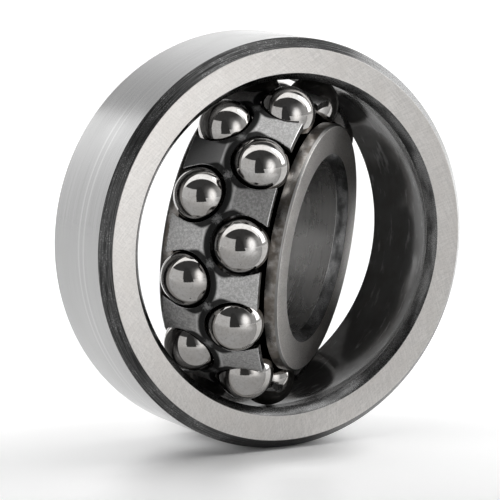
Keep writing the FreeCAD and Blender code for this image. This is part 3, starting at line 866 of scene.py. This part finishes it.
def make_world():
    """Studio round the object: pale walls, a ceiling light, a strip light and a dark front."""
    world = bpy.data.worlds.new("studio")
    bpy.context.scene.world = world
    world.use_nodes = True
    n = Nodes(world.node_tree)
    direction = n.add("ShaderNodeTexCoord").outputs["Generated"]
    right = n.vector_math("DOT_PRODUCT", direction, RIGHT)
    near = n.vector_math("DOT_PRODUCT", direction, NEAR)
    up = n.separate(direction)[2]
    # Azimuth in degrees: 0 towards the camera, positive to its right, 180 behind the object
    azimuth = n.math("DEGREES", n.math("ARCTAN2", right, near))
    elevation = n.math("DEGREES", n.math("ARCSINE", up))

    def band(value, low, high, soft):
        """1 between two limits and 0 outside, each edge twice as wide as soft."""
        rise = n.ramp(value, low - soft, low + soft)
        fall = n.ramp(value, high - soft, high + soft, 1.0, 0.0)
        return n.math("MULTIPLY", rise, fall)

    def lay(level, mask, brightness):
        """Blend a patch of the given brightness over what is there."""
        under = n.math("MULTIPLY", level, n.math("SUBTRACT", 1.0, mask))
        return n.math("ADD", under, n.math("MULTIPLY", mask, brightness))

    level = DARK_FRONT
    # Back wall, brighter straight behind
    back = n.math("MULTIPLY", n.ramp(near, -0.1, 0.05, 1.0, 0.0),
                  n.ramp(elevation, 36.0, 46.0, 1.0, 0.0))
    brightness = n.ramp(n.math("ABSOLUTE", right), 0.12, 0.5, BACK_WALL_MIDDLE, BACK_WALL_SIDES)
    level = lay(level, back, brightness)
    # Right wall, brighter away from the camera
    right_wall = n.math("MULTIPLY", band(azimuth, 20.0, 100.0, 14.0),
                        n.ramp(up, 0.35, 0.8, 1.0, 0.0))
    brightness = n.ramp(azimuth, 45.0, 85.0, RIGHT_WALL_NEAR, RIGHT_WALL_FAR)
    level = lay(level, right_wall, brightness)
    # Left wall up to a level edge
    left = n.math("MULTIPLY", band(azimuth, -139.0, -22.0, 1.5),
                  n.ramp(up, 0.505, 0.525, 1.0, 0.0))
    level = lay(level, left, LEFT_WALL)
    # Bright strip where the left wall meets the back
    gleam = n.math("MULTIPLY", n.ramp(azimuth, -141.5, -137.5),
                   n.ramp(azimuth, -138.0, -119.0, 1.0, 0.0))
    level = lay(level, gleam, LEFT_GLEAM)
    # Ceiling light overhead, with a straight edge towards the camera
    edge = n.math("SUBTRACT", n.math("MULTIPLY", up, 0.2), near)
    ceiling = n.math("MULTIPLY", n.ramp(edge, -0.01, 0.01), n.ramp(up, 0.3, 0.6))
    ceiling = n.math("MULTIPLY", ceiling, n.ramp(near, -0.36, -0.2))
    level = lay(level, ceiling, CEILING_LIGHT)
    # Strip light on the right, a little behind
    strip = n.math("MULTIPLY", band(azimuth, 96.0, 118.0, 2.0), band(elevation, 5.0, 56.0, 2.5))
    level = lay(level, strip, STRIP_LIGHT)

    lit = n.add("ShaderNodeBackground")
    n.link(n.combine(level, level, level), lit.inputs["Color"])
    n.close(lit, "ShaderNodeOutputWorld")


def towards_azimuth(degrees):
    """Level direction away from the object: 0 towards the camera, positive to its right."""
    azimuth = math.radians(degrees)
    return NEAR * math.cos(azimuth) + RIGHT * math.sin(azimuth)


def flat_sheet(name, corners, material):
    """A flat studio surface from its corners in millimetres."""
    mesh = bpy.data.meshes.new(name)
    mesh.from_pydata([corner * MM for corner in corners], [], [tuple(range(len(corners)))])
    mesh.materials.append(material)
    sheet = add_object(name, mesh)
    return sheet


def make_floor():
    """White floor that the ring stands on; its glow is dimmed near the ring and towards the camera
    as painted shade, and by painted shadows ahead of the ring.
    """
    material, n = new_material("white_floor")
    place = n.place()
    x, y, _ = n.separate(place)
    past_end = n.math("MAXIMUM", n.math("SUBTRACT", n.math("ABSOLUTE", y), HALF_WIDTH), 0.0)
    from_ring = n.vector_math("LENGTH", n.combine(x, past_end, 0.0))
    ahead = n.vector_math("DOT_PRODUCT", place, NEAR)
    aside = n.vector_math("DOT_PRODUCT", place, RIGHT)
    # Painted shade: the glow fades near the ring and towards the camera
    glow = n.math("MULTIPLY", n.ramp(from_ring, 2.0, 11.0, 0.0, FLOOR_GLOW),
                  n.ramp(ahead, 0.0, 40.0, 1.0, 0.35))
    # Painted shadow: the ring's soft shadow is painted ahead, drifting to the left, with a fainter
    # painted one beside it
    drift = n.ramp(ahead, 5.0, 20.0, -2.5, -8.5, smooth=False)
    off_drift = n.math("ABSOLUTE", n.math("SUBTRACT", aside, drift))
    painted_shadow = n.math("MULTIPLY", n.ramp(off_drift, 2.0, 11.0, 1.0, 0.0), n.ramp(ahead, 2.0, 9.0))
    painted_shadow = n.math("MULTIPLY", painted_shadow, n.ramp(ahead, 22.0, 36.0, 1.0, 0.6))
    off_faint = n.math("ABSOLUTE", n.math("SUBTRACT", aside, FAINT_PAINTED_SHADOW_ASIDE))
    faint = n.math("MULTIPLY", n.ramp(off_faint, 1.0, 6.0, 0.45, 0.0), n.ramp(ahead, 16.0, 24.0))
    for darker in (painted_shadow, faint):
        glow = n.math("MULTIPLY", glow, n.math("SUBTRACT", 1.0, darker))
    path = n.add("ShaderNodeLightPath")
    seen = n.math("ADD", path.outputs["Is Camera Ray"], path.outputs["Is Glossy Ray"])
    seen = n.math("ADD", seen, path.outputs["Is Transmission Ray"], clamp=True)
    shine = n.add("ShaderNodeEmission")
    n.link(n.math("MULTIPLY", glow, seen), shine.inputs["Strength"])
    paper = n.add("ShaderNodeBsdfDiffuse")
    paper.inputs["Color"].default_value = FLOOR_COLOUR
    both = n.add("ShaderNodeAddShader")
    n.link(paper.outputs[0], both.inputs[0])
    n.link(shine.outputs[0], both.inputs[1])
    n.close(both)
    corners = [Vector((along * FLOOR_HALF, across * FLOOR_HALF, -OUTER_RADIUS))
               for along, across in ((-1, -1), (1, -1), (1, 1), (-1, 1))]
    flat_sheet("floor", corners, material)


def hide_from_all_but_reflections(card):
    """Keep a card out of the picture, the soft light and the shadows."""
    card.visible_camera = False
    card.visible_diffuse = False
    card.visible_shadow = False


def make_painted_floor_reflection():
    """Glowing sheet ahead of the object, which only reflections show: a painted reflection of a
    grey floor, paler farther out, with a painted pool of window light by the window's foot."""
    material, n = new_material("painted_floor_reflection")
    place = n.place()
    ahead = n.vector_math("DOT_PRODUCT", place, NEAR)
    height = Vector((0, 0, APRON_LIFT - OUTER_RADIUS))
    foot = towards_azimuth(WINDOW_AZIMUTH) * CARD_DISTANCE * 0.8
    from_foot = n.vector_math("DISTANCE", place, foot + height)
    # Painted reflection: paler farther out, with a painted pool of window light by the window's
    # foot
    level = n.math("ADD", n.ramp(ahead, APRON_START, 115.0, 0.58, 0.9, smooth=False),
                   n.ramp(from_foot, 5.0, 60.0, 0.5, 0.0))
    shine = n.add("ShaderNodeEmission")
    n.link(level, shine.inputs["Strength"])
    n.close(shine)
    outline = ((APRON_START, -APRON_HALF), (APRON_END, -APRON_HALF),
               (APRON_END, APRON_HALF), (APRON_START, APRON_HALF))
    corners = [NEAR * along + RIGHT * aside + height for along, aside in outline]
    hide_from_all_but_reflections(flat_sheet("painted_floor_reflection", corners, material))


def standing_card(name, outline, material):
    """A card standing ahead of the object, which only reflections show.

    outline gives each corner's azimuth from the camera's side in degrees and its height.
    """
    middle = sum(azimuth for azimuth, _ in outline) / len(outline)
    facing = towards_azimuth(middle) * CARD_DISTANCE
    across = towards_azimuth(middle + 90.0) * CARD_DISTANCE
    corners = [facing + across * math.tan(math.radians(azimuth - middle)) + Vector((0, 0, height))
               for azimuth, height in outline]
    hide_from_all_but_reflections(flat_sheet(name, corners, material))


def make_flag():
    """Black card ahead of the object: the dark stem that the balls mirror."""
    material, n = new_material("black_card")
    shader = n.add("ShaderNodeEmission")
    shader.inputs["Color"].default_value = grey(FLAG_LEVEL)
    n.close(shader)
    outline = ((-21.3, -OUTER_RADIUS), (15.0, -OUTER_RADIUS), (-5.0, FLAG_TOP), (-20.3, FLAG_TOP))
    standing_card("black_card", outline, material)


def make_window():
    """Softly bounded window ahead on the right, brightest in its middle."""
    material, n = new_material("soft_window")
    place = n.place()
    azimuth = n.math("ARCTAN2", n.vector_math("DOT_PRODUCT", place, RIGHT),
                     n.vector_math("DOT_PRODUCT", place, NEAR))
    sideways = n.math("SUBTRACT", n.math("DEGREES", azimuth), WINDOW_AZIMUTH)
    upwards = n.math("SUBTRACT", n.separate(place)[2], WINDOW_MIDDLE)
    distance = n.hypotenuse(n.math("DIVIDE", sideways, WINDOW_HALF_ANGLE),
                            n.math("DIVIDE", upwards, WINDOW_HALF_HEIGHT))
    light = n.add("ShaderNodeEmission")
    light.inputs["Strength"].default_value = WINDOW_LIGHT
    clear = n.add("ShaderNodeBsdfTransparent")
    mix = n.add("ShaderNodeMixShader")
    n.link(n.ramp(distance, 0.15, 1.0, 1.0, 0.0), mix.inputs[0])
    n.link(clear.outputs[0], mix.inputs[1])
    n.link(light.outputs[0], mix.inputs[2])
    n.close(mix)
    low, high = WINDOW_AZIMUTH - WINDOW_HALF_ANGLE, WINDOW_AZIMUTH + WINDOW_HALF_ANGLE
    top = WINDOW_MIDDLE + WINDOW_HALF_HEIGHT
    outline = ((low, -OUTER_RADIUS), (high, -OUTER_RADIUS), (high, top), (low, top))
    standing_card("soft_window", outline, material)


make_outer_ring()
make_inner_ring()
make_cage()
make_balls()
make_camera()
make_world()
make_floor()
make_painted_floor_reflection()
make_flag()
make_window()

bpy.context.scene.view_settings.view_transform = "Standard"
